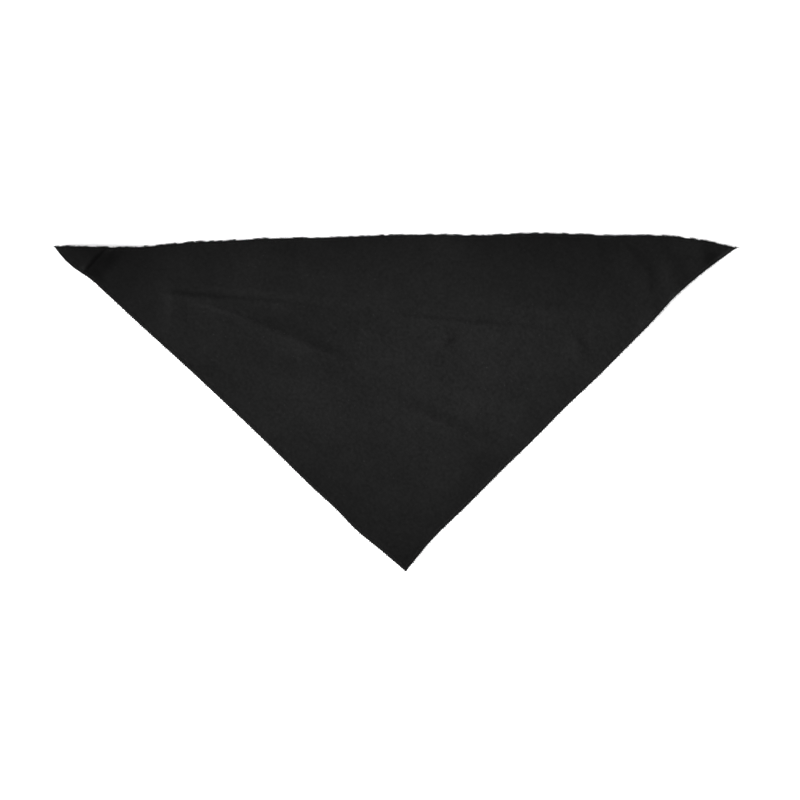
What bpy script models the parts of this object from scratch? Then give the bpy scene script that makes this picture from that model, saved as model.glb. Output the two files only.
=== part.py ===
"""A triangular pet bandana: one ply of black cotton cut as half a square, laid out on a flat surface.

Plan positions are in millimetres from the left tip, with x along the long side and y away from the
apex, until the last step turns them into metres round the middle of the bandana's own box.
"""

import math
from collections import namedtuple

import bpy
import numpy as np

MM = 0.001

# The cut: half of a square, so the long side is the square's diagonal and lies on the bias.
CUT_SIDE = 508.0
LONG_SIDE = CUT_SIDE * math.sqrt(2)
WALL = 1.0

# Where the corners lie, as shares of the long side. The right-hand side is drawn in a little.
RIGHT_TIP_DROP = 0.002
APEX_ALONG = 0.515
APEX_DROP = 0.476
LEFT_TIP = np.array((0.0, 0.0))
RIGHT_TIP = np.array((1.0, -RIGHT_TIP_DROP)) * LONG_SIDE
APEX = np.array((APEX_ALONG, -APEX_DROP)) * LONG_SIDE

# The cloth is a lattice of points that follows the grain: so many steps along each short side.
GRAIN_STEPS = 64

# How far each side stands out of its straight chord, in millimetres, at a share of its length.
Bow = namedtuple("Bow", "share out")
LONG_SIDE_BOWS = (
    Bow(0.00, 0.0),
    Bow(0.05, -0.6),
    Bow(0.10, -1.2),
    Bow(0.15, 0.8),
    Bow(0.20, 4.5),
    Bow(0.25, 6.1),
    Bow(0.30, 8.2),
    Bow(0.40, 9.9),
    Bow(0.50, 12.6),
    Bow(0.56, 13.1),
    Bow(0.61, 12.3),
    Bow(0.71, 14.8),
    Bow(0.83, 12.3),
    Bow(0.89, 12.4),
    Bow(0.95, 7.6),
    Bow(1.00, 0.0),
)
LEFT_SIDE_BOWS = (
    Bow(0.00, 0.0),
    Bow(0.02, 1.9),
    Bow(0.06, 2.5),
    Bow(0.10, -0.5),
    Bow(0.14, -0.6),
    Bow(0.24, -0.5),
    Bow(0.36, -1.0),
    Bow(0.60, 0.1),
    Bow(0.74, 2.0),
    Bow(0.81, 1.9),
    Bow(0.86, 3.5),
    Bow(0.93, 1.7),
    Bow(1.00, 0.0),
)
RIGHT_SIDE_BOWS = (
    Bow(0.00, 0.0),
    Bow(0.08, -4.1),
    Bow(0.20, -4.4),
    Bow(0.30, -5.2),
    Bow(0.40, -4.9),
    Bow(0.48, -5.7),
    Bow(0.60, -5.1),
    Bow(0.68, -5.8),
    Bow(0.75, -6.5),
    Bow(0.83, -8.6),
    Bow(0.92, -5.7),
    Bow(1.00, 0.0),
)

# Each fold is a raised crest from start to end. Its middle bows to the left of that line by bend.
# height is reached at the share peak of its length, and kept is the share left at its two ends.
# left and right are how far the flanks reach, at the start and at the end. crown is 2 for a round
# crest, 1 for a straight flank and 0 for a sharp crest that falls away steeply.
Fold = namedtuple("Fold", "start end bend height peak kept left right crown")
FOLDS = {
    "long_fold": Fold((186, -71), (318, -127), 0, 1.9, 0.68, (0.0, 0.0), (9, 18), (40, 60), 0.3),
    "long_swell": Fold((106, -40), (372, -147), 3, 3.0, 0.62, (0.0, 0.0), (18, 66), (70, 80), 0.9),
    "lower_fold": Fold((342, -155), (481, -218), -1, 2.0, 0.38, (0.0, 0.6), (16, 15), (54, 44), 0.8),
    "corner_swell": Fold((34, -29), (65, -1), 0, 5.6, 0.50, (1.0, 1.0), (80, 86), (19, 36), 0.8),
    "right_fold": Fold((628, 14), (662, -72), 8, 0.9, 0.60, (0.1, 0.5), (18, 16), (24, 21), 1.0),
    "right_swell": Fold((591, 12), (633, -78), 11, 0.7, 0.45, (0.8, 0.5), (18, 18), (60, 50), 0.6),
    "tip_fold": Fold((682, 12), (685, -30), 0, 0.9, 0.50, (0.8, 0.8), (14, 12), (24, 22), 0.9),
    "hump": Fold((400, -72), (660, -66), 0, 6.0, 0.62, (0.0, 0.7), (60, 80), (110, 60), 1.6),
    "top_droop": Fold((430, -28), (650, -24), 0, 3.0, 0.45, (0.0, 0.3), (40, 38), (60, 60), 1.8),
    "upper_swell": Fold((96, -36), (410, -64), 0, 2.2, 0.35, (0.0, 0.0), (36, 70), (10, 14), 1.2),
    "left_lift": Fold((215, -203), (345, -330), 0, 4.2, 0.60, (0.0, 0.4), (42, 54), (30, 30), 0.8),
    "apex_lift": Fold((330, -343), (410, -343), 0, 4.5, 0.50, (1.0, 1.0), (40, 40), (30, 30), 0.5),
    "right_drop": Fold((398, -272), (474, -194), 0, 2.4, 0.50, (0.0, 0.0), (50, 50), (22, 22), 0.8),
}

BLACK = (0.0145, 0.0145, 0.0145, 1.0)
ROUGHNESS = 0.92


def clear_scene():
    for old in list(bpy.data.objects):
        bpy.data.objects.remove(old, do_unlink=True)


def black_cotton():
    material = bpy.data.materials.new("black_cotton")
    material.use_nodes = True
    shader = material.node_tree.nodes["Principled BSDF"]
    shader.inputs["Base Color"].default_value = BLACK
    shader.inputs["Roughness"].default_value = ROUGHNESS
    shader.inputs["Metallic"].default_value = 0.0
    return material


def mix(pair, share):
    return pair[0] + (pair[1] - pair[0]) * share


def bowed(bows, share):
    """Distance out of the chord at each share, on a smooth curve through the table's rows."""
    at = np.array([bow.share for bow in bows])
    out = np.array([bow.out for bow in bows])
    slope = np.gradient(out, at)
    row = np.clip(np.searchsorted(at, share, side="right") - 1, 0, len(at) - 2)
    width = at[row + 1] - at[row]
    q = (share - at[row]) / width
    start = (1 + 2 * q) * (1 - q) ** 2 * out[row] + q * (1 - q) ** 2 * width * slope[row]
    end = q**2 * (3 - 2 * q) * out[row + 1] - q**2 * (1 - q) * width * slope[row + 1]
    return start + end


def side_offset(first, last, bows, first_weight, last_weight, far_weight):
    """How far one side's bow moves each point. It fades to nothing at the opposite corner."""
    run = last - first
    outward = np.array((-run[1], run[0])) / np.hypot(*run)
    share = last_weight / np.maximum(first_weight + last_weight, 1e-9)
    return (bowed(bows, share) * (1 - far_weight) ** 2)[:, None] * outward


def laid_plan(left, right):
    """Plan points for grain steps run from the apex towards the left tip and the right tip."""
    to_left = left / GRAIN_STEPS
    to_right = right / GRAIN_STEPS
    to_apex = 1.0 - to_left - to_right
    corners = to_left[:, None] * LEFT_TIP + to_right[:, None] * RIGHT_TIP + to_apex[:, None] * APEX
    long_side = side_offset(LEFT_TIP, RIGHT_TIP, LONG_SIDE_BOWS, to_left, to_right, to_apex)
    left_side = -side_offset(LEFT_TIP, APEX, LEFT_SIDE_BOWS, to_left, to_apex, to_right)
    right_side = -side_offset(APEX, RIGHT_TIP, RIGHT_SIDE_BOWS, to_apex, to_right, to_left)
    return corners + long_side + left_side + right_side


def fold_height(fold, x, y):
    """Height that one fold gives the cloth at each plan point."""
    run_x = fold.end[0] - fold.start[0]
    run_y = fold.end[1] - fold.start[1]
    length = math.hypot(run_x, run_y)
    from_x = x - fold.start[0]
    from_y = y - fold.start[1]
    along = np.clip((from_x * run_x + from_y * run_y) / length**2, 0.0, 1.0)
    aside = (from_y * run_x - from_x * run_y) / length - fold.bend * 4 * along * (1 - along)
    reach = np.where(aside > 0, mix(fold.left, along), mix(fold.right, along))
    down_flank = np.minimum(np.abs(aside) / reach, 1.0)
    flank = (1 - down_flank) ** 2 * (1 + fold.crown * down_flank)
    before = along < fold.peak
    off_peak = np.where(before, 1 - along / fold.peak, (along - fold.peak) / (1 - fold.peak))
    swell = (1 - off_peak) ** 2 * (1 + 2 * off_peak)
    kept = np.where(before, fold.kept[0], fold.kept[1])
    return fold.height * (kept + (1 - kept) * swell) * flank


def relief(x, y):
    return sum(fold_height(fold, x, y) for fold in FOLDS.values())


def lattice():
    """Grain steps of each point, and the triangles between them."""
    steps = [(i, j) for i in range(GRAIN_STEPS + 1) for j in range(GRAIN_STEPS + 1 - i)]
    index = {step: n for n, step in enumerate(steps)}
    faces = []
    for i, j in steps:
        if i + j >= GRAIN_STEPS:
            continue
        faces.append((index[i, j], index[i, j + 1], index[i + 1, j]))
        if i + j + 2 <= GRAIN_STEPS:
            faces.append((index[i + 1, j], index[i, j + 1], index[i + 1, j + 1]))
    return np.array(steps, float), faces


def cloth_panel(material):
    steps, faces = lattice()
    plan = laid_plan(steps[:, 0], steps[:, 1])
    height = relief(plan[:, 0], plan[:, 1])
    middle = (plan.min(axis=0) + plan.max(axis=0)) / 2
    underside = np.column_stack((plan - middle, height)) * MM
    mesh = bpy.data.meshes.new("cloth_panel")
    mesh.from_pydata(underside.tolist(), [], faces)
    mesh.materials.append(material)
    mesh.shade_smooth()
    panel = bpy.data.objects.new("cloth_panel", mesh)
    bpy.context.scene.collection.objects.link(panel)
    wall = panel.modifiers.new("wall", "SOLIDIFY")
    wall.thickness = WALL * MM
    wall.offset = 1.0
    wall.use_even_offset = True
    return panel


clear_scene()
cloth_panel(black_cotton())
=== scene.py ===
"""The looks of a triangular pet bandana: one ply of black cotton, overlocked and laid out flat.

Sizes are in millimetres. Plan positions are from the left tip, with x along the long side and y
away from the apex, until a piece's points are turned into metres round the middle of the cloth.
"""

import math
from collections import namedtuple

import bpy
import numpy as np
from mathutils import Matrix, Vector


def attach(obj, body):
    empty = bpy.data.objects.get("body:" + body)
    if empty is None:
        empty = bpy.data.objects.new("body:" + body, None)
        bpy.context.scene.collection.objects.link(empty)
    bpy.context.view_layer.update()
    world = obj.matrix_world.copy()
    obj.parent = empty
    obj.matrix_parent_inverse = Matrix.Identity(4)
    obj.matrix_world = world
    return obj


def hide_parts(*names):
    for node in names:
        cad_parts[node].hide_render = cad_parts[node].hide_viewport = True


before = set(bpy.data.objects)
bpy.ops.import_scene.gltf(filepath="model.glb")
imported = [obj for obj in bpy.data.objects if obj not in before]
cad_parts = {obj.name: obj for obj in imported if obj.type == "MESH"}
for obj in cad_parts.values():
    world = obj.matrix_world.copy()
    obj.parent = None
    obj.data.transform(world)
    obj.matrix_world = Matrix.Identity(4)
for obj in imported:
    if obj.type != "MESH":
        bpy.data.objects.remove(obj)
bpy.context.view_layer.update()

MM = 0.001

# ---- the cut and the outline --------------------------------------------------------------------

# The cut is half of a square, so the long side is the square's diagonal and lies on the bias.
CUT_SIDE = 508.0
LONG_SIDE = CUT_SIDE * math.sqrt(2)
CLOTH_THICK = 0.5
CLEAR_OF_FLOOR = 0.36

# Where the corners lie, as shares of the long side. The right-hand side is drawn in a little.
RIGHT_TIP_DROP = 0.002
APEX_ALONG = 0.515
APEX_DROP = 0.476
LEFT_TIP = np.array((0.0, 0.0))
RIGHT_TIP = np.array((1.0, -RIGHT_TIP_DROP)) * LONG_SIDE
APEX = np.array((APEX_ALONG, -APEX_DROP)) * LONG_SIDE

# The cloth is a lattice of points that follows the grain: so many steps along each short side.
GRAIN_STEPS = 300

# How far each side stands out of its straight chord at a share of its length.
Bow = namedtuple("Bow", "share out")
LONG_SIDE_BOWS = (
    Bow(0.00, 0.0),
    Bow(0.05, -0.6),
    Bow(0.10, -1.2),
    Bow(0.15, 0.8),
    Bow(0.20, 4.5),
    Bow(0.25, 6.1),
    Bow(0.30, 8.2),
    Bow(0.40, 9.9),
    Bow(0.50, 12.6),
    Bow(0.56, 13.1),
    Bow(0.61, 12.3),
    Bow(0.71, 14.8),
    Bow(0.83, 12.3),
    Bow(0.89, 12.4),
    Bow(0.95, 7.6),
    Bow(1.00, 0.0),
)
LEFT_SIDE_BOWS = (
    Bow(0.00, 0.0),
    Bow(0.02, 1.9),
    Bow(0.06, 2.5),
    Bow(0.10, -0.5),
    Bow(0.14, -0.6),
    Bow(0.24, -0.5),
    Bow(0.36, -1.0),
    Bow(0.60, 0.1),
    Bow(0.74, 2.0),
    Bow(0.81, 1.9),
    Bow(0.86, 3.5),
    Bow(0.93, 1.7),
    Bow(1.00, 0.0),
)
RIGHT_SIDE_BOWS = (
    Bow(0.00, 0.0),
    Bow(0.08, -4.1),
    Bow(0.20, -4.4),
    Bow(0.30, -5.2),
    Bow(0.40, -4.9),
    Bow(0.48, -5.7),
    Bow(0.60, -5.1),
    Bow(0.68, -5.8),
    Bow(0.75, -6.5),
    Bow(0.83, -8.6),
    Bow(0.92, -5.7),
    Bow(1.00, 0.0),
)

# Each side runs from its first corner to its last. outside is 1 where the floor is on its left and
# -1 where it is on its right. across is how far the cut goes from it to the corner that faces it.
Side = namedtuple("Side", "first last outside across bows")
SIDES = {
    "long_side": Side(LEFT_TIP, RIGHT_TIP, 1.0, LONG_SIDE / 2, LONG_SIDE_BOWS),
    "left_side": Side(LEFT_TIP, APEX, -1.0, CUT_SIDE, LEFT_SIDE_BOWS),
    "right_side": Side(APEX, RIGHT_TIP, -1.0, CUT_SIDE, RIGHT_SIDE_BOWS),
}

# ---- folds, creases and unevenness --------------------------------------------------------------

# Each fold is a raised crest from start to end. Its middle bows to the left of that line by bend.
# height is reached at the share peak of its length, and kept is the share left at its two ends.
# left and right are how far the flanks reach, at the start and at the end. crown is 2 for a round
# crest, 1 for a straight flank and 0 for a sharp crest that falls away steeply.
Fold = namedtuple("Fold", "start end bend height peak kept left right crown")
MAIN_FOLDS = {
    "long_fold": Fold((186, -71), (318, -127), 0, 1.9, 0.68, (0, 0), (9, 18), (40, 60), 0.3),
    "long_swell": Fold((106, -40), (372, -147), 3, 3.0, 0.62, (0, 0), (18, 66), (70, 80), 0.9),
    "lower_fold": Fold((342, -155), (481, -218), -1, 2.0, 0.38, (0, 0.6), (16, 15), (54, 44), 0.8),
    "corner_swell": Fold((34, -29), (65, -1), 0, 5.6, 0.50, (1, 1), (80, 86), (19, 36), 0.8),
    "right_fold": Fold((628, 14), (662, -72), 8, 0.9, 0.60, (0.1, 0.5), (18, 16), (24, 21), 1.0),
    "right_swell": Fold((591, 12), (633, -78), 11, 0.7, 0.45, (0.8, 0.5), (18, 18), (60, 50), 0.6),
    "tip_fold": Fold((682, 12), (685, -30), 0, 0.9, 0.50, (0.8, 0.8), (14, 12), (24, 22), 0.9),
    "hump": Fold((400, -72), (660, -66), 0, 6.0, 0.62, (0, 0.7), (60, 80), (110, 60), 1.6),
    "top_droop": Fold((430, -28), (650, -24), 0, 3.0, 0.45, (0, 0.3), (40, 38), (60, 60), 1.8),
    "upper_swell": Fold((96, -36), (410, -64), 0, 2.2, 0.35, (0, 0), (36, 70), (10, 14), 1.2),
    "left_lift": Fold((215, -203), (345, -330), 0, 4.2, 0.60, (0, 0.4), (42, 54), (30, 30), 0.8),
    "apex_lift": Fold((330, -343), (410, -343), 0, 4.5, 0.50, (1, 1), (40, 40), (30, 30), 0.5),
    "right_drop": Fold((398, -272), (474, -194), 0, 2.4, 0.50, (0, 0), (50, 50), (22, 22), 0.8),
}
# Creases too fine for a stiff wall: pressed lines and small marks in the thin cloth.
FINE_FOLDS = {
    "corner_line": Fold((32, -26), (53, -2), 0.6, 2.6, 0.36, (0.9, 0.4), (80, 86), (2.8, 2.2), 0.3),
    "corner_bend": Fold((35, -28), (66, -3), 0, 1.2, 0.55, (0.6, 0.4), (12, 16), (9, 14), 0.9),
    "long_line": Fold((108, -46), (262, -99), 2.8, 0.8, 0.45, (0, 0), (3.5, 5), (9, 14), 0.5),
    "neck_line": Fold((592, 8), (619, -19), 0, 0.8, 0.55, (0, 0), (5.5, 6.5), (20, 20), 0.6),
    "neck_bend": Fold((620, -10), (626, -58), 1.5, 0.9, 0.75, (0, 0), (7, 7.5), (24, 24), 0.7),
    "pressed_line": Fold((104, -49), (300, -67), 1, 1.6, 0.18, (0, 0), (5, 5.5), (18, 20), 0.5),
    "pressed_step": Fold((174, -51), (280, -64), 0, 0.8, 0.60, (0, 0), (4.5, 4.5), (18, 18), 0.5),
    "pressed_end": Fold((262, -64), (566, -92), 0, 1.3, 0.66, (0, 0), (5, 5), (22, 22), 0.5),
    "upright_mark": Fold((124, -26), (123, -96), 0, 1.6, 0.50, (0, 0), (22, 22), (10, 10), 1.2),
    "short_mark": Fold((398, -112), (429, -82), 0, 2.1, 0.50, (0, 0), (24, 24), (10, 10), 0.8),
    "curved_mark": Fold((538, -86), (560, -130), 4, 2.0, 0.45, (0, 0), (11, 11), (24, 24), 0.8),
    "apex_line": Fold((332, -303), (406, -303), 0, -0.7, 0.50, (0, 0), (9, 9), (4, 4), 0.8),
}

# Low, wide unevenness that any laid cloth has. heading is in degrees from the long side.
Ripple = namedtuple("Ripple", "wavelength heading height shift")
RIPPLES = (
    Ripple(93.0, 24.0, 0.26, 0.3),
    Ripple(71.0, 118.0, 0.20, 1.9),
    Ripple(52.0, -38.0, 0.14, 4.1),
    Ripple(37.0, 71.0, 0.09, 2.7),
    Ripple(23.0, 152.0, 0.045, 5.2),
    Ripple(17.0, 10.0, 0.028, 0.9),
)

# The stitches draw the cloth along each side into small uneven waves, which fade out further in.
# Their height comes and goes by PUCKER_SWING round PUCKER_MEAN, once in each PUCKER_SPELL.
PUCKER_LENGTHS = (6.1, 8.7, 13.3)
PUCKER_HEIGHT = 0.08
PUCKER_REACH = 5.5
PUCKER_SPELL = 61.0
PUCKER_MEAN = 0.7
PUCKER_SWING = 0.5

# The cloth's lean at a point is read from the heights this far away on either side of it.
LEAN_STEP = 0.4

# ---- painted light and shade --------------------------------------------------------------------

# Painted light and shade: where the black is painted paler (+) or fuller (-) than the cloth's
# mean, as soft patches that stand in for the shading of folds and creases and for light that
# falls off towards the sides. reach is how far a patch goes along its heading and across it.
Patch = namedtuple("Patch", "centre reach heading paler")
PAINTED_LIGHT_PATCHES = (
    # Painted light: the middle is paler, most of all to the right.
    Patch((440, -138), (165, 98), 0, 0.20),
    Patch((598, -96), (74, 62), 45, 0.13),
    Patch((236, -176), (66, 44), -40, 0.13),
    Patch((285, -168), (80, 34), -30, 0.09),
    Patch((312, -104), (54, 26), -20, 0.10),
    Patch((380, -60), (60, 36), -10, 0.07),
    Patch((466, -186), (56, 36), -35, 0.12),
    Patch((422, -164), (34, 18), -22, 0.12),
    Patch((382, -222), (26, 18), -30, 0.10),
    Patch((222, -194), (20, 13), -40, 0.10),
    # Painted shade under the long side.
    Patch((520, -2), (120, 66), -3, -0.17),
    Patch((280, 8), (130, 40), 2, -0.11),
    Patch((304, 4), (26, 14), 0, -0.14),
    Patch((500, -46), (60, 26), 0, -0.07),
    Patch((560, -20), (70, 22), 0, 0.07),
    # Painted highlight on the long fold, and painted shade beside it.
    Patch((175, -65.5), (50, 7), -17, 0.25),
    Patch((226, -76), (62, 14), -17, -0.12),
    Patch((286, -106), (34, 6), -27, -0.10),
    Patch((216, -122), (60, 26), -25, -0.08),
    Patch((266, -140), (60, 16), -25, -0.06),
    # Painted shade beside the lower fold.
    Patch((378, -172), (44, 18), -25, -0.06),
    Patch((391, -193), (26, 10), -25, -0.10),
    Patch((440, -222), (50, 22), -30, -0.04),
    # Painted shade along the pressed line and at the short mark, painted light at the upright mark.
    Patch((190, -52), (72, 4), -6, -0.10),
    Patch((445, -79), (96, 4), -5.5, -0.07),
    Patch((548, -63), (74, 5), -5, -0.08),
    Patch((135, -24), (22, 6), 90, 0.07),
    Patch((417, -100), (12, 2.5), 40, -0.20),
    # Painted shade near the left side and the right side, and one painted highlight.
    Patch((163, -129), (15, 11), 0, -0.10),
    Patch((262, -196), (22, 16), -40, -0.12),
    Patch((424, -272), (30, 20), 45, -0.08),
    Patch((505, -186), (26, 16), 45, -0.09),
    Patch((617, -84), (15, 6), 46, 0.26),
    # Painted shade round the turned-up left corner and in its crease, and a painted highlight.
    Patch((62, -14), (66, 50), 10, -0.24),
    Patch((110, -24), (96, 66), 0, -0.15),
    Patch((20, -4), (34, 26), 0, -0.20),
    Patch((46, -23), (25, 14), 47, -0.14),
    Patch((63, -12), (22, 9), 50, -0.09),
    Patch((55, -18), (24, 8), 41, -0.12),
    Patch((41.5, -16.5), (16, 2.2), 49, -0.42),
    Patch((51, -6.5), (8, 2.2), 56, -0.30),
    Patch((48.5, -14.5), (16, 4), 50, -0.15),
    Patch((44, -31), (16, 8), -42, -0.22),
    Patch((30.5, -24), (7, 4), 45, 0.50),
    # Painted highlights and painted shade at the right tip and on the folds before it.
    Patch((645, -34), (32, 10), -82, 0.12),
    Patch((641, -60), (14, 5), -60, 0.15),
    Patch((651, -54), (9, 4), 44, 0.50),
    Patch((664, 4), (28, 17), 0, 0.22),
    Patch((666, -30), (16, 12), 45, 0.10),
    Patch((692, -13), (13, 9), 20, -0.28),
    Patch((704.5, -9.5), (14, 4), 32, 0.80),
    Patch((706, -4), (14, 10), 0, 0.16),
)

# Painted shade: the black is painted fuller towards the sides, where the light falls off. deep is
# how far in that fades. Both are given at the side's two ends. The last field is a painted light:
# how much paler the cloth is along the inner line of the stitches, where the threads cast shade.
SideTone = namedtuple("SideTone", "fuller deep worn")
PAINTED_SIDE_SHADES = {
    "long_side": SideTone((0.30, 0.38), (28.0, 32.0), 0.0),
    "left_side": SideTone((0.06, 0.22), (30.0, 44.0), 0.32),
    "right_side": SideTone((0.24, 0.04), (34.0, 24.0), 0.05),
}
# Where the painted light along the stitches lies in from the side, and how wide it is.
PAINTED_LIGHT_LINE = 3.7
PAINTED_LIGHT_WIDTH = 1.2

# Painted light and shade on the thread: how many times paler it is than the cloth beside it,
# at the side's two ends.
THREAD_PAINTED_LIGHT = {
    "long_side": (1.0, 0.9),
    "left_side": (0.35, 1.55),
    "right_side": (1.85, 1.75),
}

# ---- the threads --------------------------------------------------------------------------------

# The overlock: three black threads over the raw edge.
STITCH_LENGTH = 2.3
STITCH_WIDTH = 3.6
STITCH_OVERHANG = 0.56
STEPS_PER_STITCH = 12
THREAD_RADIUS = 0.16
THREAD_SIDES = 5
# Room for the stitches at a corner, and how much it grows for each millimetre from there.
ROOM_AT_CORNER = 0.25
ROOM_GROWTH = 0.72
# How far a stitch's width and its loop round the edge stray from 1, in units of the unevenness.
UNEVENNESS = 0.3
WIDTH_STRAYS = (-1.0, 0.3)
LOOP_STRAYS = (-3.2, 4.6)
# A looper's thread is at its full height this far in from its turn round the edge. The distance is
# in units of that height over the middle of the cloth.
LOOPER_CLIMB = 1.6
# How far each looper's thread slants along the edge, as a share of the stitch's length.
UPPER_SLANT = 0.16
LOWER_SLANT = -0.10
# The needle's thread: where its row runs in the stitches' width, how proud it lies in thread radii,
# how deep it dips into the cloth and how suddenly.
NEEDLE_ROW = 0.93
NEEDLE_PROUD = 0.5
NEEDLE_DIP = 1.9
NEEDLE_SHARPNESS = 7.0

# The chain of threads that the overlock leaves past each long tip. heading is in radians.
Tail = namedtuple("Tail", "corner heading length")
TAILS = {
    "thread_tail_right": Tail(RIGHT_TIP, -0.06, 3.4),
    "thread_end_left": Tail(LEFT_TIP, 3.1, 1.5),
}
TAIL_POINTS = 12
TAIL_WIDTH = 0.42
TAIL_HALF_THICK = 0.02
TAIL_STITCH = 0.9
TAIL_PALENESS = 0.7
# How high a tail would come to lie, and the share of the way down to there that it has sunk.
TAIL_REST = 0.42
TAIL_SUNK = 0.6
TAIL_SEED = 11

# Yarn ends that poke out through the overlock, because the long side is cut across the grain.
YARN_SPACING = 0.15
YARN_SHORTEST = 0.3
YARN_LONGEST = 1.35
YARN_RADIUS = 0.09
YARN_ROOT = 0.5
YARN_TAPER = 0.4
YARN_SEED = 5
# They stand in tufts about this long, where a noise is over a random level between these two.
TUFT_LENGTH = 8.0
TUFT_LEVELS = (0.45, 0.58)
# The least and the most that a yarn leans along the edge and lifts off the floor, for each unit
# that it goes outwards. Its girth is as many times YARN_RADIUS.
YARN_LEANS = (0.35, 1.15)
YARN_LIFTS = (-0.25, 0.3)
YARN_GIRTHS = (0.6, 1.1)
# A yarn's bend, in its own length along x and its own girth along y and z.
YARN_BEND = {
    "Resolution": 5,
    "Start": (0.0, 0.0, 0.0),
    "Middle": (0.75, 2.6, 0.6),
    "End": (0.95, -2.2, 0.2),
}
# Each seed leaves room for this many different draws of random numbers.
DRAWS_PER_SEED = 16.0

# ---- the finishes -------------------------------------------------------------------------------

CLOTH_BLACK = 0.0065
THREAD_BLACK = 0.0062
YARN_BLACK = 0.0050

# The weave: from yarn to yarn, how sharply one yarn dives under the next, the painted light on
# each yarn's crown and the painted shade between the yarns.
YARN_PITCH = 0.44
WEAVE_SHARPNESS = 2.5
WEAVE_PAINTED_LIGHT = 0.3
WEAVE_PAINTED_SHADE = 0.8
# Thick and thin places of a yarn are long and narrow, by this ratio, and stand a little proud.
SLUB_NARROWNESS = 0.05
SLUB_HEIGHT = 0.2

# Unevenness of a finish. size is about how long its features are, in millimetres on the cloth's own
# map and in metres elsewhere, and strength is how much they show.
Mottle = namedtuple("Mottle", "size detail strength")
SLUB = Mottle(0.9, 2.0, 0.12)
NAP = Mottle(30.0, 3.0, 0.26)
LINT = Mottle(9.0, 2.0, 0.20)
SPECKLE = Mottle(3.6, 2.0, 0.58)
FLECK = Mottle(2.2, 0.0, 4.0)
FLECK_LEVEL = 0.5
THREAD_PLY = Mottle(0.22 * MM, 2.0, 0.25)
THREAD_TONE = Mottle(2.6 * MM, 2.0, 0.95)
YARN_TONE = Mottle(1.2 * MM, 2.0, 0.3)
FLOOR_TONE = Mottle(0.4, 2.0, 0.004)

# ---- the stage, the lights and the view ---------------------------------------------------------

FLOOR_SIDE = 9.0
FLOOR_WHITE = 0.93
FLOOR_GLOW = 0.5

# A softbox looks at a plan point from a heading and a height in degrees, and a distance and a side
# in metres. brightness is how bright it makes a white surface there.
Softbox = namedtuple("Softbox", "at heading height distance side brightness")
SOFTBOXES = {
    "key_light": Softbox((360, -120), 205.0, 26.0, 4.2, 2.2, 0.86),
    "top_light": Softbox((430, -120), 0.0, 90.0, 0.52, 0.4, 0.62),
}

# The room's walls are bright up to WALL_TOP, as the sine of the height over the horizon, and fade
# into a dimmer ceiling that starts at CEILING_START.
WALLS = 1.0
CEILING = 0.24
WALL_TOP = 0.12
CEILING_START = 0.45

# The photograph is taken from straight above. Its frame is so wide and centred here in the plan.
PHOTO_WIDTH = 843.4
PHOTO_CENTRE = np.array((363.9, -161.8))
LENS = 100.0
SENSOR = 36.0

# ---- the laid shape -----------------------------------------------------------------------------


def mix(pair, share):
    """A value between the two of a pair."""
    return pair[0] + (pair[1] - pair[0]) * share


def bowed(bows, share):
    """Distance out of the chord at each share, on a smooth curve through the table's rows."""
    at = np.array([bow.share for bow in bows])
    out = np.array([bow.out for bow in bows])
    slope = np.gradient(out, at)
    row = np.clip(np.searchsorted(at, share, side="right") - 1, 0, len(at) - 2)
    width = at[row + 1] - at[row]
    q = (share - at[row]) / width
    start = (1 + 2 * q) * (1 - q) ** 2 * out[row] + q * (1 - q) ** 2 * width * slope[row]
    end = q**2 * (3 - 2 * q) * out[row + 1] - q**2 * (1 - q) * width * slope[row + 1]
    return start + end


def corner_weights(to_left, to_right):
    """For each side, how near each point is to its first corner, its last and the one it faces."""
    to_apex = 1.0 - to_left - to_right
    return {
        "long_side": (to_left, to_right, to_apex),
        "left_side": (to_left, to_apex, to_right),
        "right_side": (to_apex, to_right, to_left),
    }


def share_along(first_weight, last_weight):
    """The share of a side's length at which each point lies."""
    return last_weight / np.maximum(first_weight + last_weight, 1e-9)


def laid_plan(to_left, to_right):
    """Plan points for shares of the grain run from the apex to the left and the right tip.

    Each side's bow moves the points near it, and fades to nothing at the corner that it faces.
    """
    to_apex = 1.0 - to_left - to_right
    plan = to_left[:, None] * LEFT_TIP + to_right[:, None] * RIGHT_TIP + to_apex[:, None] * APEX
    for name, (first, last, far) in corner_weights(to_left, to_right).items():
        side = SIDES[name]
        run = side.last - side.first
        outward = side.outside * np.array((-run[1], run[0])) / np.hypot(*run)
        plan += (bowed(side.bows, share_along(first, last)) * (1 - far) ** 2)[:, None] * outward
    return plan


def fold_height(fold, x, y):
    """Height that one fold gives the cloth at each plan point."""
    run_x = fold.end[0] - fold.start[0]
    run_y = fold.end[1] - fold.start[1]
    length = math.hypot(run_x, run_y)
    from_x = x - fold.start[0]
    from_y = y - fold.start[1]
    along = np.clip((from_x * run_x + from_y * run_y) / length**2, 0.0, 1.0)
    aside = (from_y * run_x - from_x * run_y) / length - fold.bend * 4 * along * (1 - along)
    reach = np.where(aside > 0, mix(fold.left, along), mix(fold.right, along))
    down_flank = np.minimum(np.abs(aside) / reach, 1.0)
    flank = (1 - down_flank) ** 2 * (1 + fold.crown * down_flank)
    before = along < fold.peak
    off_peak = np.where(before, 1 - along / fold.peak, (along - fold.peak) / (1 - fold.peak))
    swell = (1 - off_peak) ** 2 * (1 + 2 * off_peak)
    kept = np.where(before, fold.kept[0], fold.kept[1])
    return fold.height * (kept + (1 - kept) * swell) * flank


def ripple_height(ripple, x, y):
    """Height of one slow wave, which is never below 0."""
    heading = math.radians(ripple.heading)
    run = x * math.cos(heading) + y * math.sin(heading)
    return ripple.height * (1 + np.sin(2 * math.pi * run / ripple.wavelength + ripple.shift))


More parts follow.
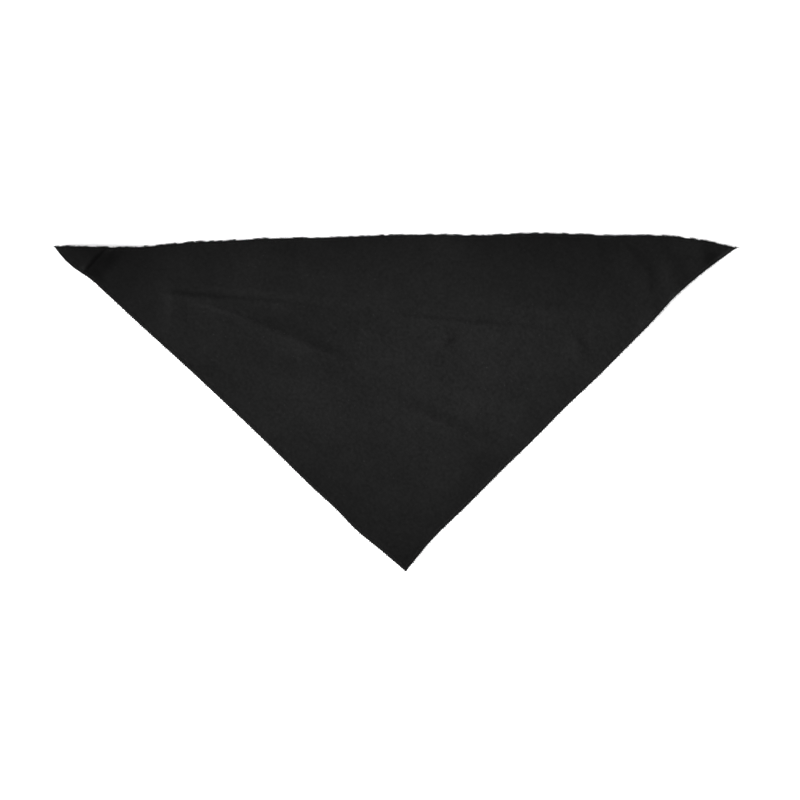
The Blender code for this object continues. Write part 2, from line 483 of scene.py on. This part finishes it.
def pucker_height(side, x, y):
    """Height of the small waves that the stitches draw along one side."""
    run = side.last - side.first
    length = math.hypot(*run)
    from_x = x - side.first[0]
    from_y = y - side.first[1]
    along = (from_x * run[0] + from_y * run[1]) / length
    left_of = (from_y * run[0] - from_x * run[1]) / length
    inset = bowed(side.bows, np.clip(along / length, 0.0, 1.0)) - side.outside * left_of
    turns = 2 * math.pi * along
    # Each wave's own length also shifts it, so that no two start together.
    waves = sum(np.sin(turns / wave + wave) for wave in PUCKER_LENGTHS)
    spell = PUCKER_MEAN + PUCKER_SWING * np.sin(turns / PUCKER_SPELL + inset / PUCKER_REACH)
    return PUCKER_HEIGHT * waves * spell * np.exp(-((np.maximum(inset, 0.0) / PUCKER_REACH) ** 2))


def relief(x, y):
    """Height of the cloth's underside over the floor."""
    folds = [fold_height(fold, x, y) for fold in (*MAIN_FOLDS.values(), *FINE_FOLDS.values())]
    ripples = [ripple_height(ripple, x, y) for ripple in RIPPLES]
    puckers = [pucker_height(side, x, y) for side in SIDES.values()]
    return CLEAR_OF_FLOOR + np.maximum(sum(folds) + sum(ripples) + sum(puckers), 0.0)


def surface(x, y):
    """Underside points of the cloth and its unit normals at plan points."""
    height = relief(x, y)
    lean_x = (relief(x + LEAN_STEP, y) - relief(x - LEAN_STEP, y)) / (2 * LEAN_STEP)
    lean_y = (relief(x, y + LEAN_STEP) - relief(x, y - LEAN_STEP)) / (2 * LEAN_STEP)
    normal = np.column_stack((-lean_x, -lean_y, np.ones_like(lean_x)))
    normal /= np.linalg.norm(normal, axis=1, keepdims=True)
    return np.column_stack((x, y, height)), normal


def painted_side_shade(tone, share, inset):
    """Painted shade near one side, less the painted light along the inner line of the stitches."""
    worn = tone.worn * np.exp(-(((inset - PAINTED_LIGHT_LINE) / PAINTED_LIGHT_WIDTH) ** 2))
    return mix(tone.fuller, share) * np.exp(-inset / mix(tone.deep, share)) - worn


def painted_shade_and_tone(to_left, to_right, plan):
    """How much painted light and shade lighten or darken each point, round 1."""
    tone = np.ones(len(plan))
    for name, (first, last, far) in corner_weights(to_left, to_right).items():
        tone -= painted_side_shade(PAINTED_SIDE_SHADES[name], share_along(first, last), far * SIDES[name].across)
    for patch in PAINTED_LIGHT_PATCHES:
        heading = math.radians(patch.heading)
        way = plan - np.array(patch.centre)
        along = (way[:, 0] * math.cos(heading) + way[:, 1] * math.sin(heading)) / patch.reach[0]
        across = (way[:, 1] * math.cos(heading) - way[:, 0] * math.sin(heading)) / patch.reach[1]
        inside = np.maximum(1 - along**2 - across**2, 0.0)
        tone += patch.paler * inside**2 * (3 - 2 * inside)
    return tone


def lattice():
    """Grain steps of each point, and the faces between them."""
    steps = [(i, j) for i in range(GRAIN_STEPS + 1) for j in range(GRAIN_STEPS + 1 - i)]
    index = {step: n for n, step in enumerate(steps)}
    faces = []
    for i, j in steps:
        if i + j + 2 <= GRAIN_STEPS:
            faces.append((index[i, j], index[i, j + 1], index[i + 1, j + 1], index[i + 1, j]))
        elif i + j < GRAIN_STEPS:
            faces.append((index[i, j], index[i, j + 1], index[i + 1, j]))
    return np.array(steps, float), faces


GRAIN, LATTICE_FACES = lattice()
PLAN = laid_plan(GRAIN[:, 0] / GRAIN_STEPS, GRAIN[:, 1] / GRAIN_STEPS)
PLAN_MIDDLE = (PLAN.min(axis=0) + PLAN.max(axis=0)) / 2


def in_frame(points):
    """Points in millimetres from the left tip, as metres in the object's frame."""
    return (points - np.array((*PLAN_MIDDLE, 0.0))) * MM


def placed(name, data):
    """A new object in the scene that holds a mesh, a light or a camera."""
    thing = bpy.data.objects.new(name, data)
    bpy.context.scene.collection.objects.link(thing)
    return thing


def carry(mesh, label, values):
    """Give each point of a mesh a named number or vector."""
    kind, field = ("FLOAT", "value") if values.ndim == 1 else ("FLOAT_VECTOR", "vector")
    data = mesh.attributes.new(label, kind, "POINT").data
    data.foreach_set(field, values.astype(np.float32).ravel())


# ---- materials ----------------------------------------------------------------------------------


def add_node(tree, kind, values=None, **settings):
    """A node with its settings made and its inputs set or linked."""
    node = tree.nodes.new(kind)
    for name, value in settings.items():
        setattr(node, name, value)
    for name, value in (values or {}).items():
        if isinstance(value, bpy.types.NodeSocket):
            tree.links.new(value, node.inputs[name])
        else:
            node.inputs[name].default_value = value
    return node


def calc(tree, operation, first, second=0.0, third=0.0):
    """The result of one sum on numbers."""
    values = {0: first, 1: second, 2: third}
    return add_node(tree, "ShaderNodeMath", values, operation=operation).outputs[0]


def scaled(tree, vector, factor):
    """A vector made longer or shorter."""
    node = add_node(tree, "ShaderNodeVectorMath", {0: vector, "Scale": factor}, operation="SCALE")
    return node.outputs[0]


def sum_of(tree, *vectors):
    """Vectors added together."""
    total = vectors[0]
    for vector in vectors[1:]:
        node = add_node(tree, "ShaderNodeVectorMath", {0: total, 1: vector}, operation="ADD")
        total = node.outputs[0]
    return total


def new_material(name, roughness, specular):
    """A material with its node tree and its shader."""
    material = bpy.data.materials.new(name)
    material.use_nodes = True
    shader = material.node_tree.nodes["Principled BSDF"]
    shader.inputs["Roughness"].default_value = roughness
    shader.inputs["Specular IOR Level"].default_value = specular
    return material, material.node_tree, shader


def tinted(tree, colour, shade):
    """A grey colour made lighter or darker by a number round 1."""
    grey = calc(tree, "MULTIPLY", shade, colour)
    return add_node(tree, "ShaderNodeCombineColor", {0: grey, 1: grey, 2: grey}).outputs[0]


def with_painted_shade(tree, colour, shade):
    """A tinted colour that also carries the painted light and shade at each point of the piece."""
    pale = add_node(tree, "ShaderNodeAttribute", attribute_name="painted_shade_and_tone").outputs["Fac"]
    return tinted(tree, colour, calc(tree, "MULTIPLY", shade, pale))


def noise_around(tree, vector, mottle):
    """Noise from -1 to 1 with a mottle's size and detail."""
    values = {"Vector": vector, "Scale": 1.0 / mottle.size, "Detail": mottle.detail}
    noise = add_node(tree, "ShaderNodeTexNoise", values, noise_dimensions="3D")
    return calc(tree, "MULTIPLY_ADD", noise.outputs["Fac"], 2.0, -1.0)


def mottled(tree, vector, shade, *mottles):
    """A shade made uneven by each of some mottles."""
    for mottle in mottles:
        noise = noise_around(tree, vector, mottle)
        shade = calc(tree, "MULTIPLY_ADD", noise, mottle.strength, shade)
    return shade


def add_bump(tree, shader, height, strength, distance):
    """Fine relief in a finish, at most so many millimetres deep."""
    values = {"Height": height, "Strength": strength, "Distance": distance * MM}
    tree.links.new(add_node(tree, "ShaderNodeBump", values).outputs[0], shader.inputs["Normal"])


def woven_cotton():
    """Plain weave in black cotton. Its UV map is in millimetres along the two grain directions."""
    material, tree, shader = new_material("black_woven_cotton", roughness=0.9, specular=0.075)
    shader.inputs["Sheen Weight"].default_value = 0.015
    shader.inputs["Sheen Roughness"].default_value = 0.6
    grain = add_node(tree, "ShaderNodeUVMap", uv_map="grain").outputs["UV"]
    split = add_node(tree, "ShaderNodeSeparateXYZ", {0: grain})
    # Warp and weft lie over each other in turn, and each yarn is round.
    warp = calc(tree, "SINE", calc(tree, "MULTIPLY", split.outputs["X"], math.pi / YARN_PITCH))
    weft = calc(tree, "SINE", calc(tree, "MULTIPLY", split.outputs["Y"], math.pi / YARN_PITCH))
    turn = calc(tree, "MULTIPLY", warp, weft)
    warp_is_over = calc(tree, "MULTIPLY_ADD", turn, WEAVE_SHARPNESS, 0.5)
    warp_is_over = calc(tree, "MINIMUM", calc(tree, "MAXIMUM", warp_is_over, 0.0), 1.0)
    warp_round = calc(tree, "ABSOLUTE", warp)
    weft_round = calc(tree, "ABSOLUTE", weft)
    warp_above_weft = calc(tree, "SUBTRACT", warp_round, weft_round)
    crossing = calc(tree, "MULTIPLY_ADD", warp_is_over, warp_above_weft, weft_round)
    # No yarn is even, the nap lies unevenly over them, and a few flecks of lint catch the light.
    slubs = []
    for narrowed in ((SLUB_NARROWNESS, 1.0, 1.0), (1.0, SLUB_NARROWNESS, 1.0)):
        run = add_node(tree, "ShaderNodeMapping", {"Vector": grain, "Scale": narrowed})
        slubs.append(noise_around(tree, run.outputs[0], SLUB))
    slub = calc(tree, "ADD", *slubs)
    fleck = calc(tree, "SUBTRACT", noise_around(tree, grain, FLECK), FLECK_LEVEL)
    fleck = calc(tree, "MAXIMUM", fleck, 0.0)
    # Painted shade between the yarns and painted light on their crowns, from the weave's crossing.
    shade = calc(tree, "MULTIPLY_ADD", crossing, WEAVE_PAINTED_LIGHT, WEAVE_PAINTED_SHADE)
    shade = calc(tree, "MULTIPLY_ADD", slub, SLUB.strength, shade)
    shade = mottled(tree, grain, shade, NAP, LINT, SPECKLE)
    shade = calc(tree, "MULTIPLY_ADD", fleck, FLECK.strength, shade)
    tree.links.new(with_painted_shade(tree, CLOTH_BLACK, shade), shader.inputs["Base Color"])
    weave_height = calc(tree, "MULTIPLY_ADD", slub, SLUB_HEIGHT, crossing)
    add_bump(tree, shader, weave_height, strength=0.35, distance=0.08)
    return material


def overlock_thread():
    """Spun black thread: plies that wind round it, and a little more shine than the cloth."""
    material, tree, shader = new_material("black_overlock_thread", roughness=0.78, specular=0.15)
    shader.inputs["Sheen Weight"].default_value = 0.05
    where = add_node(tree, "ShaderNodeTexCoord").outputs["Object"]
    ply = noise_around(tree, where, THREAD_PLY)
    shade = calc(tree, "MULTIPLY_ADD", ply, THREAD_PLY.strength, 1.0)
    shade = mottled(tree, where, shade, THREAD_TONE)
    tree.links.new(with_painted_shade(tree, THREAD_BLACK, shade), shader.inputs["Base Color"])
    add_bump(tree, shader, ply, strength=0.4, distance=0.04)
    return material


def cut_yarn():
    """Loose black cotton yarn, with no twist left in it."""
    material, tree, shader = new_material("black_cotton_yarn", roughness=0.9, specular=0.12)
    shader.inputs["Sheen Weight"].default_value = 0.03
    where = add_node(tree, "ShaderNodeTexCoord").outputs["Object"]
    shade = mottled(tree, where, 1.0, YARN_TONE)
    tree.links.new(with_painted_shade(tree, YARN_BLACK, shade), shader.inputs["Base Color"])
    return material


def pale_floor():
    """A white shooting table, lit a little from below so that shadows on it stay light."""
    material, tree, shader = new_material("pale_floor", roughness=0.9, specular=0.1)
    where = add_node(tree, "ShaderNodeTexCoord").outputs["Object"]
    shade = mottled(tree, where, 1.0, FLOOR_TONE)
    tree.links.new(tinted(tree, FLOOR_WHITE, shade), shader.inputs["Base Color"])
    shader.inputs["Emission Color"].default_value = (1.0, 1.0, 1.0, 1.0)
    shader.inputs["Emission Strength"].default_value = FLOOR_GLOW
    return material


# ---- the cloth ----------------------------------------------------------------------------------


def cloth(material):
    """The laid cloth: a thin shell on the grain lattice, with its grain kept as a UV map."""
    underside, normal = surface(PLAN[:, 0], PLAN[:, 1])
    count = len(underside)
    points = np.concatenate((underside, underside + normal * CLOTH_THICK))
    faces = [face[::-1] for face in LATTICE_FACES]
    faces += [tuple(n + count for n in face) for face in LATTICE_FACES]
    faces += rim_faces(count)
    mesh = bpy.data.meshes.new("bandana_cloth")
    mesh.from_pydata(in_frame(points).tolist(), [], faces)
    grain = np.tile(GRAIN * CUT_SIDE / GRAIN_STEPS, (2, 1))
    corner = np.zeros(len(mesh.loops), np.int32)
    mesh.loops.foreach_get("vertex_index", corner)
    uv = mesh.uv_layers.new(name="grain")
    uv.data.foreach_set("uv", grain[corner].astype(np.float32).ravel())
    # Painted light and shade, kept as an attribute that the materials read.
    tone = painted_shade_and_tone(GRAIN[:, 0] / GRAIN_STEPS, GRAIN[:, 1] / GRAIN_STEPS, PLAN)
    carry(mesh, "painted_shade_and_tone", np.tile(tone, 2))
    mesh.materials.append(material)
    mesh.shade_smooth()
    return placed("bandana_cloth", mesh)


def rim_faces(count):
    """The narrow faces that close the shell along its three cut sides."""
    index = {(int(i), int(j)): n for n, (i, j) in enumerate(GRAIN)}
    last = GRAIN_STEPS
    walk = [(i, 0) for i in range(last)]
    walk += [(last - j, j) for j in range(last)]
    walk += [(0, last - i) for i in range(last)]
    rim = [index[step] for step in walk]
    pairs = zip(rim, rim[1:] + rim[:1])
    return [(b, a, a + count, b + count) for a, b in pairs]


# ---- threads and yarns that follow a guide line -------------------------------------------------


def new_tree(name, inputs):
    """A Geometry Nodes tree with a geometry input, named size inputs and a material input."""
    tree = bpy.data.node_groups.new(name, "GeometryNodeTree")
    tree.interface.new_socket("Geometry", in_out="INPUT", socket_type="NodeSocketGeometry")
    for label, kind in inputs:
        tree.interface.new_socket(label, in_out="INPUT", socket_type=kind)
    tree.interface.new_socket("Material", in_out="INPUT", socket_type="NodeSocketMaterial")
    tree.interface.new_socket("Geometry", in_out="OUTPUT", socket_type="NodeSocketGeometry")
    given = tree.nodes.new("NodeGroupInput").outputs
    return tree, given


def end_tree(tree, geometry, given):
    """Every tree ends in real faces that carry the piece's material."""
    geometry = add_node(tree, "GeometryNodeSetShadeSmooth", {"Geometry": geometry}).outputs[0]
    geometry = add_node(tree, "GeometryNodeRealizeInstances", {"Geometry": geometry}).outputs[0]
    values = {"Geometry": geometry, "Material": given["Material"]}
    geometry = add_node(tree, "GeometryNodeSetMaterial", values).outputs[0]
    add_node(tree, "NodeGroupOutput", {"Geometry": geometry})


def read(tree, name, kind):
    """An attribute that the guide line carries."""
    node = add_node(tree, "GeometryNodeInputNamedAttribute", {"Name": name}, data_type=kind)
    return node.outputs["Attribute"]


def random_between(tree, low, high, seed, draw, number=None):
    """A random number for each point, or for each whole number given, the same on every run."""
    node = add_node(tree, "FunctionNodeRandomValue", data_type="FLOAT")
    ends = [s for s in node.inputs if s.type == "VALUE" and s.name in ("Min", "Max")]
    for socket, value in zip(ends, (low, high)):
        if isinstance(value, bpy.types.NodeSocket):
            tree.links.new(value, socket)
        else:
            socket.default_value = value
    tree.links.new(calc(tree, "MULTIPLY_ADD", seed, DRAWS_PER_SEED, draw), node.inputs["Seed"])
    if number:
        tree.links.new(number, node.inputs["ID"])
    return [s for s in node.outputs if s.type == "VALUE"][0]


def straying(tree, given, strays, draw, stitch):
    """A number round 1 for each whole stitch, which strays as far as the unevenness lets it."""
    low, high = (calc(tree, "MULTIPLY_ADD", given["Unevenness"], stray, 1.0) for stray in strays)
    return random_between(tree, low, high, given["Seed"], draw, calc(tree, "FLOOR", stitch))


def thread_pass(tree, given, line, inward, upward, forward):
    """One thread: the guide line moved inward, up and forward, then given its round section."""
    shift = sum_of(
        tree,
        scaled(tree, read(tree, "inward", "FLOAT_VECTOR"), inward),
        scaled(tree, read(tree, "up", "FLOAT_VECTOR"), upward),
        scaled(tree, add_node(tree, "GeometryNodeInputTangent").outputs[0], forward),
    )
    moved = add_node(tree, "GeometryNodeSetPosition", {"Geometry": line, "Offset": shift})
    section = add_node(
        tree,
        "GeometryNodeCurvePrimitiveCircle",
        {"Resolution": THREAD_SIDES, "Radius": given["Thread Radius"]},
    )
    values = {"Curve": moved.outputs[0], "Profile Curve": section.outputs[0], "Fill Caps": True}
    return add_node(tree, "GeometryNodeCurveToMesh", values).outputs[0]


def overlock_tree():
    """Three threads along a guide line: a looper over each face of the cloth, and the needle's."""
    sizes = (
        ("Stitch Length", "NodeSocketFloat"),
        ("Steps", "NodeSocketInt"),
        ("Overhang", "NodeSocketFloat"),
        ("Half Thick", "NodeSocketFloat"),
        ("Thread Radius", "NodeSocketFloat"),
        ("Unevenness", "NodeSocketFloat"),
        ("Seed", "NodeSocketInt"),
    )
    tree, given = new_tree("overlock", sizes)
    # Whole stitches fill the line, each with its own width and its own loop round the edge.
    guide = add_node(tree, "GeometryNodeMeshToCurve", {"Mesh": given["Geometry"]}).outputs[0]
    length = add_node(tree, "GeometryNodeCurveLength", {"Curve": guide}).outputs[0]
    stitches = calc(tree, "ROUND", calc(tree, "DIVIDE", length, given["Stitch Length"]))
    count = calc(tree, "MULTIPLY_ADD", stitches, given["Steps"], 1.0)
    values = {"Curve": guide, "Count": count}
    line = add_node(tree, "GeometryNodeResampleCurve", values).outputs[0]
    index = add_node(tree, "GeometryNodeInputIndex").outputs[0]
    stitch = calc(tree, "DIVIDE", index, given["Steps"])
    phase = calc(tree, "MULTIPLY", stitch, 2 * math.pi)
    needle_stitch = calc(tree, "ADD", stitch, 0.5)
    pull = straying(tree, given, WIDTH_STRAYS, 0, needle_stitch)
    room = calc(tree, "MULTIPLY", read(tree, "room", "FLOAT"), pull)
    slack = straying(tree, given, LOOP_STRAYS, 1, stitch)
    overhang = calc(tree, "MULTIPLY", given["Overhang"], slack)
    # Both loopers swing from the needle's row to the edge, where they turn round it and meet.
    swing = calc(tree, "MULTIPLY_ADD", calc(tree, "COSINE", phase), 0.5, 0.5)
    off_edge = calc(tree, "MULTIPLY", swing, calc(tree, "ADD", room, overhang))
    inward = calc(tree, "SUBTRACT", off_edge, overhang)
    above = calc(tree, "ADD", given["Half Thick"], given["Thread Radius"])
    climb = calc(tree, "DIVIDE", off_edge, calc(tree, "MULTIPLY", above, LOOPER_CLIMB))
    climb = calc(tree, "POWER", calc(tree, "MINIMUM", climb, 1.0), 0.5)
    over = calc(tree, "MULTIPLY", climb, above)
    under = calc(tree, "MULTIPLY", over, -1.0)
    slant = calc(tree, "MULTIPLY", calc(tree, "SINE", phase), given["Stitch Length"])
    upper_slant = calc(tree, "MULTIPLY", slant, UPPER_SLANT)
    lower_slant = calc(tree, "MULTIPLY", slant, LOWER_SLANT)
    upper = thread_pass(tree, given, line, inward, over, upper_slant)
    lower = thread_pass(tree, given, line, inward, under, lower_slant)
    # The needle's thread lies on the cloth along its row and dips into it once in each stitch.
    dip = calc(tree, "POWER", swing, NEEDLE_SHARPNESS)
    crest = calc(tree, "MULTIPLY_ADD", given["Thread Radius"], NEEDLE_PROUD, above)
    sink = calc(tree, "MULTIPLY", dip, calc(tree, "MULTIPLY", above, NEEDLE_DIP))
    needle_up = calc(tree, "SUBTRACT", crest, sink)
    needle_in = calc(tree, "MULTIPLY", room, NEEDLE_ROW)
    needle = thread_pass(tree, given, line, needle_in, needle_up, 0.0)
    joined = tree.nodes.new("GeometryNodeJoinGeometry")
    for thread in (needle, lower, upper):
        tree.links.new(thread, joined.inputs[0])
    end_tree(tree, joined.outputs[0], given)
    return tree


def yarn_end_tree():
    """Short cut yarns along a guide line, in tufts, each leaving the edge along the grain."""
    sizes = (
        ("Spacing", "NodeSocketFloat"),
        ("Shortest", "NodeSocketFloat"),
        ("Longest", "NodeSocketFloat"),
        ("Yarn Radius", "NodeSocketFloat"),
        ("Root", "NodeSocketFloat"),
        ("Seed", "NodeSocketInt"),
    )
    tree, given = new_tree("yarn_ends", sizes)
    # Which points along the edge have a yarn.
    guide = add_node(tree, "GeometryNodeMeshToCurve", {"Mesh": given["Geometry"]}).outputs[0]
    values = {"Curve": guide, "Length": given["Spacing"]}
    line = add_node(tree, "GeometryNodeResampleCurve", values, mode="LENGTH").outputs[0]
    seed = given["Seed"]
    where = add_node(tree, "GeometryNodeInputPosition").outputs[0]
    values = {"Vector": where, "Scale": 1.0 / (TUFT_LENGTH * MM), "Detail": 2.0}
    tuft = add_node(tree, "ShaderNodeTexNoise", values, noise_dimensions="3D").outputs["Fac"]
    values = {0: tuft, 1: random_between(tree, *TUFT_LEVELS, seed, 1)}
    chosen = add_node(tree, "FunctionNodeCompare", values, data_type="FLOAT").outputs[0]
    # Which way each yarn lies: outwards, leaning to either side as the two grain directions do.
    inward = read(tree, "inward", "FLOAT_VECTOR")
    tangent = add_node(tree, "GeometryNodeInputTangent").outputs[0]
    to_side = calc(tree, "SIGN", random_between(tree, -1.0, 1.0, seed, 2))
    lean = calc(tree, "MULTIPLY", to_side, random_between(tree, *YARN_LEANS, seed, 3))
    lift = random_between(tree, *YARN_LIFTS, seed, 4)
    heading = sum_of(
        tree,
        scaled(tree, inward, -1.0),
        scaled(tree, tangent, lean),
        scaled(tree, read(tree, "up", "FLOAT_VECTOR"), lift),
    )
    values = {"Vector": heading}
    turn = add_node(tree, "FunctionNodeAlignRotationToVector", values, axis="X").outputs[0]
    # How long and how thick it is, and how far inside the edge it starts.
    length = random_between(tree, given["Shortest"], given["Longest"], seed, 5)
    length = calc(tree, "ADD", length, given["Root"])
    girth = random_between(tree, *YARN_GIRTHS, seed, 6)
    girth = calc(tree, "MULTIPLY", given["Yarn Radius"], girth)
    size = add_node(tree, "ShaderNodeCombineXYZ", {0: length, 1: girth, 2: girth}).outputs[0]
    root = scaled(tree, inward, given["Root"])
    rooted = add_node(tree, "GeometryNodeSetPosition", {"Geometry": line, "Offset": root})
    # One bent and tapered yarn, of length 1 and girth 1, stands for all of them.
    yarn = add_node(tree, "GeometryNodeCurveQuadraticBezier", YARN_BEND).outputs[0]
    along = add_node(tree, "GeometryNodeSplineParameter").outputs["Factor"]
    taper = calc(tree, "MULTIPLY_ADD", along, -YARN_TAPER, 1.0)
    yarn = add_node(tree, "GeometryNodeSetCurveRadius", {"Curve": yarn, "Radius": taper})
    values = {"Resolution": 4, "Radius": 1.0}
    section = add_node(tree, "GeometryNodeCurvePrimitiveCircle", values)
    values = {"Curve": yarn.outputs[0], "Profile Curve": section.outputs[0], "Fill Caps": True}
    yarn = add_node(tree, "GeometryNodeCurveToMesh", values).outputs[0]
    values = {
        "Points": rooted.outputs[0],
        "Selection": chosen,
        "Instance": yarn,
        "Rotation": turn,
        "Scale": size,
    }
    ends = add_node(tree, "GeometryNodeInstanceOnPoints", values).outputs[0]
    end_tree(tree, ends, given)
    return tree


def line_mesh(name, points, inward, up, room, tone):
    """A guide line that carries its way inward, its way up, the stitches' room and its painted
    shading.
    """
    mesh = bpy.data.meshes.new(name)
    pairs = [(n, n + 1) for n in range(len(points) - 1)]
    mesh.from_pydata(in_frame(points).tolist(), pairs, [])
    carried = {"inward": inward, "up": up, "room": room * MM, "painted_shade_and_tone": tone}
    for label, values in carried.items():
        carry(mesh, label, values)
    return mesh


def edge_line(name, edge, tone):
    """The guide line along one side, in the middle of the cloth's thickness."""
    underside, normal = surface(edge[:, 0], edge[:, 1])
    points = underside + normal * CLOTH_THICK / 2
    along = np.gradient(points, axis=0)
    inward = np.cross(normal, along) * -SIDES[name].outside
    inward /= np.linalg.norm(inward, axis=1, keepdims=True)
    return line_mesh(name, points, inward, normal, room_along(edge), tone)


def grow(name, guide, tree, values):
    """A piece made by a Geometry Nodes tree on a guide line, turned into a plain mesh."""
    piece = placed(name, guide)
    modifier = piece.modifiers.new(name, "NODES")
    modifier.node_group = tree
    for item in tree.interface.items_tree:
        if item.item_type == "SOCKET" and item.in_out == "INPUT" and item.name in values:
            modifier[item.identifier] = values[item.name]
    graph = bpy.context.evaluated_depsgraph_get()
    mesh = bpy.data.meshes.new_from_object(piece.evaluated_get(graph))
    piece.modifiers.clear()
    piece.data = mesh
    mesh.name = name
    for label in ("inward", "up", "room"):
        found = mesh.attributes.get(label)
        if found:
            mesh.attributes.remove(found)
    bpy.data.meshes.remove(guide)
    return piece


def side_points(name):
    """Plan points along one side, from its first corner to its last, and their painted shading."""
    run = np.linspace(0.0, 1.0, 2 * GRAIN_STEPS + 1)
    none = np.zeros_like(run)
    shares = {
        "long_side": (1 - run, run),
        "left_side": (1 - run, none),
        "right_side": (none, run),
    }
    edge = laid_plan(*shares[name])
    return edge, painted_shade_and_tone(*shares[name], edge)


def room_along(edge):
    """Width for the stitches: less near the corners, where the other side cuts across."""
    steps = np.linalg.norm(np.diff(edge, axis=0), axis=1)
    walked = np.concatenate(((0.0,), np.cumsum(steps)))
    nearest = np.minimum(walked, walked[-1] - walked)
    return np.minimum(STITCH_WIDTH, ROOM_AT_CORNER + nearest * ROOM_GROWTH)


def overlock_values(material, seed):
    """What the overlock's tree is given along a side of the cloth."""
    return {
        "Stitch Length": STITCH_LENGTH * MM,
        "Steps": STEPS_PER_STITCH,
        "Overhang": STITCH_OVERHANG * MM,
        "Half Thick": CLOTH_THICK / 2 * MM,
        "Thread Radius": THREAD_RADIUS * MM,
        "Unevenness": UNEVENNESS,
        "Seed": seed,
        "Material": material,
    }


def overlocks(tree, material):
    """The overlock along each side of the cloth."""
    made = []
    for seed, name in enumerate(SIDES):
        edge, tone = side_points(name)
        # The threads take the cloth's painted light and shade, scaled for each side.
        tone = tone * mix(THREAD_PAINTED_LIGHT[name], np.linspace(0.0, 1.0, len(tone)))
        guide = edge_line(name, edge, tone)
        made.append(grow("overlock_" + name, guide, tree, overlock_values(material, seed)))
    return made


def thread_tail(name, tail, tree, material):
    """The chain of threads that the overlock leaves past a tip, sinking towards the floor."""
    run = np.linspace(0.0, 1.0, TAIL_POINTS)
    direction = np.array((math.cos(tail.heading), math.sin(tail.heading)))
    plan = tail.corner + (run * tail.length)[:, None] * direction
    tip_height = relief(tail.corner[:1], tail.corner[1:])[0]
    height = tip_height + CLOTH_THICK / 2 + (TAIL_REST - tip_height) * run**2 * TAIL_SUNK
    inward = np.tile((-direction[1], direction[0], 0.0), (TAIL_POINTS, 1))
    up = np.tile((0.0, 0.0, 1.0), (TAIL_POINTS, 1))
    room = np.full(TAIL_POINTS, TAIL_WIDTH / 2)
    tone = np.full(TAIL_POINTS, TAIL_PALENESS)
    guide = line_mesh(name, np.column_stack((plan, height)), inward, up, room, tone)
    values = overlock_values(material, TAIL_SEED)
    values["Stitch Length"] = TAIL_STITCH * MM
    values["Overhang"] = TAIL_WIDTH / 2 * MM
    values["Half Thick"] = TAIL_HALF_THICK * MM
    return grow(name, guide, tree, values)


def yarn_ends(tree, material):
    """The cut yarns that poke out along the long side."""
    guide = edge_line("long_side", *side_points("long_side"))
    values = {
        "Spacing": YARN_SPACING * MM,
        "Shortest": YARN_SHORTEST * MM,
        "Longest": YARN_LONGEST * MM,
        "Yarn Radius": YARN_RADIUS * MM,
        "Root": YARN_ROOT * MM,
        "Seed": YARN_SEED,
        "Material": material,
    }
    return grow("yarn_ends_long_side", guide, tree, values)


# ---- making the stage, the lights and the view --------------------------------------------------


def floor(material):
    """A wide flat table top at height 0."""
    half = FLOOR_SIDE / 2
    mesh = bpy.data.meshes.new("floor")
    corners = [(-half, -half, 0), (half, -half, 0), (half, half, 0), (-half, half, 0)]
    mesh.from_pydata(corners, [], [(0, 1, 2, 3)])
    mesh.materials.append(material)
    return placed("floor", mesh)


def softbox(name, box):
    """A square area light that looks at its place on the cloth."""
    heading = math.radians(box.heading)
    height = math.radians(box.height)
    flat = math.cos(height)
    aim = Vector((math.cos(heading) * flat, math.sin(heading) * flat, math.sin(height)))
    lamp = bpy.data.lights.new(name, "AREA")
    lamp.size = box.side
    lamp.energy = box.brightness * (math.pi * box.distance) ** 2 / aim.z
    light = placed(name, lamp)
    light.location = aim * box.distance + Vector(in_frame(np.array((*box.at, 0.0))))
    light.rotation_euler = (-aim).to_track_quat("-Z", "Y").to_euler()
    light.visible_camera = False


def studio_room():
    """White walls all round at the horizon, under a dimmer ceiling."""
    world = bpy.data.worlds.new("studio")
    world.use_nodes = True
    tree = world.node_tree
    way = add_node(tree, "ShaderNodeTexCoord").outputs["Generated"]
    height = add_node(tree, "ShaderNodeSeparateXYZ", {0: way}).outputs["Z"]
    values = {0: height, 1: WALL_TOP, 2: CEILING_START, 3: WALLS, 4: CEILING}
    strength = add_node(tree, "ShaderNodeMapRange", values, interpolation_type="SMOOTHSTEP")
    tree.links.new(strength.outputs[0], tree.nodes["Background"].inputs["Strength"])
    tree.nodes["Background"].inputs["Color"].default_value = (1.0, 1.0, 1.0, 1.0)
    bpy.context.scene.world = world


def overhead_camera():
    """The camera, straight above the middle of the photograph's frame."""
    data = bpy.data.cameras.new("camera")
    data.lens = LENS
    data.sensor_width = SENSOR
    centre = (PHOTO_CENTRE - PLAN_MIDDLE) * MM
    camera = placed("camera", data)
    camera.location = (*centre, PHOTO_WIDTH * MM * LENS / SENSOR)
    bpy.context.scene.camera = camera


# ---- putting it together ------------------------------------------------------------------------

bpy.context.scene.view_settings.view_transform = "Standard"
overhead_camera()
for name, box in SOFTBOXES.items():
    softbox(name, box)
studio_room()
ground = floor(pale_floor())

cotton = woven_cotton()
thread = overlock_thread()
panel = cloth(cotton)
overlock = overlock_tree()
trimmings = overlocks(overlock, thread)
trimmings.append(yarn_ends(yarn_end_tree(), cut_yarn()))
for name, tail in TAILS.items():
    trimmings.append(thread_tail(name, tail, overlock, thread))

for piece in (panel, *trimmings):
    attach(piece, "root")
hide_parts("cloth_panel")
